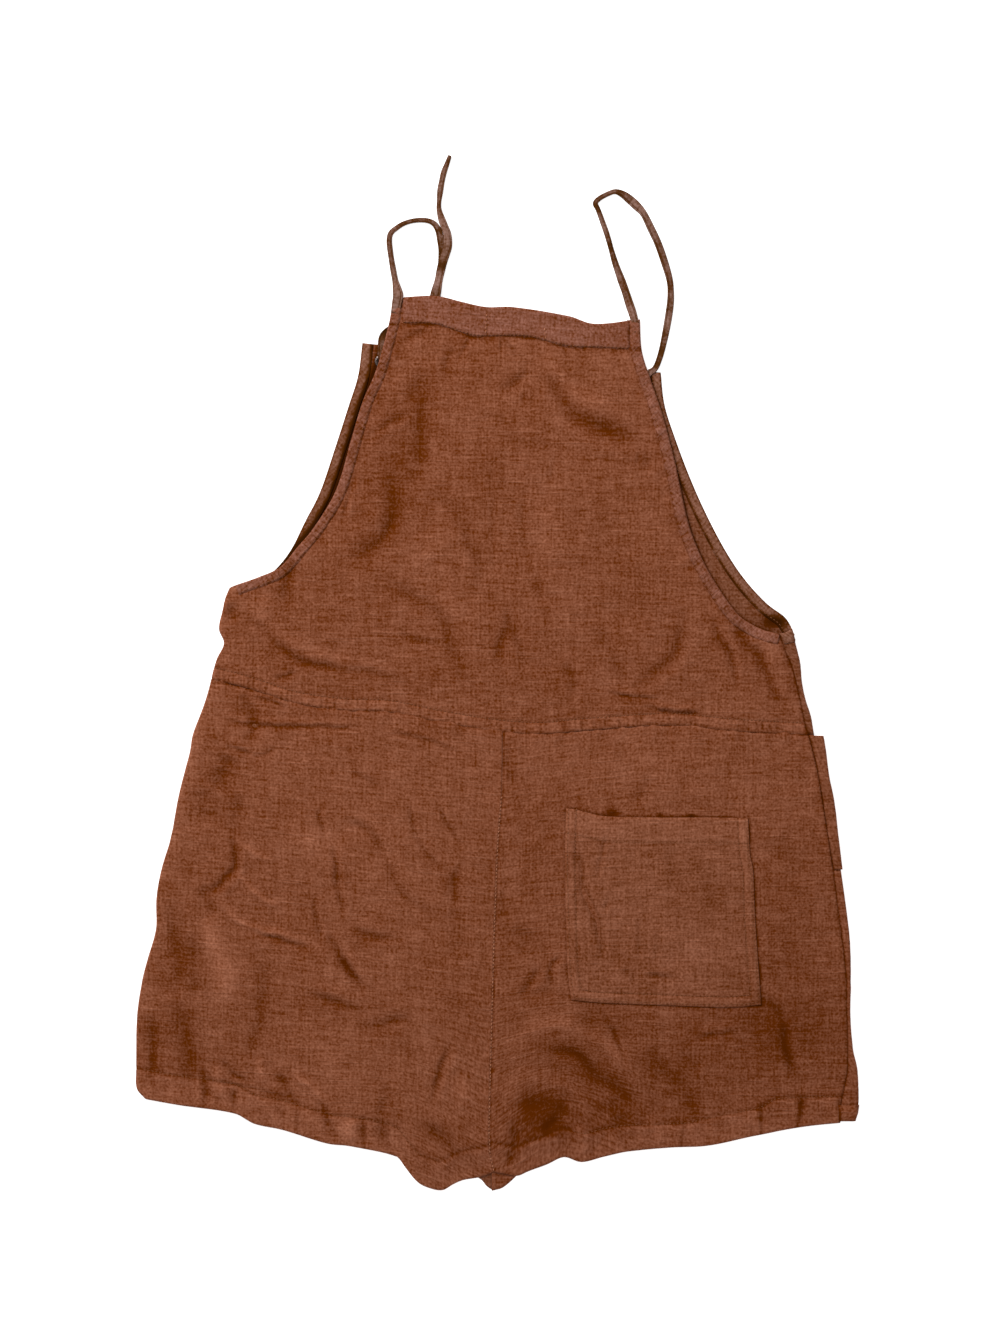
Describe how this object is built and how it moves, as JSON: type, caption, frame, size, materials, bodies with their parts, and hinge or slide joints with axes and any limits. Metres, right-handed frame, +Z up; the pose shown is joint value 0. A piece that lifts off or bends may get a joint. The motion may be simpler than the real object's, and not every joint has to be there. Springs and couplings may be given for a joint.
{
  "type": "strap romper",
  "caption": "Sleeveless linen romper with short wide legs, a straight bib, thin tie straps through eyelets and a patch pocket at the back, laid flat with its back uppermost.",
  "frame": {"origin": "on the surface it lies on, under the middle of the garment without its straps", "axes": "+X across the garment, towards the side that its patch pocket is on; +Y up the garment, from the hems to the bib; +Z up, out of its back"},
  "size_m": [0.5785, 0.8285, 0.0067],
  "materials": {
    "linen": "matt slubby weave, rust brown",
    "linen_inside": "the same cloth seen from its inner side, in shade",
    "eyelet_metal": "dull antique metal"
  },
  "bodies": {
    "root": {"back_bodice": "linen", "back_top_band": "linen", "back_binding_left": "linen", "back_binding_right": "linen", "back_leg_left": "linen", "back_leg_right": "linen", "back_pocket": "linen", "front_pocket_left": "linen", "front_pocket_right": "linen", "front_binding_left": "linen", "front_binding_right": "linen", "strap_left": "linen", "strap_left_tail": "linen", "strap_right": "linen", "strap_right_tail": "linen", "front_bodice": "linen_inside", "front_leg_left": "linen_inside", "front_leg_right": "linen_inside", "eyelet_left": "eyelet_metal", "eyelet_right": "eyelet_metal"}
  },
  "joints": []
}
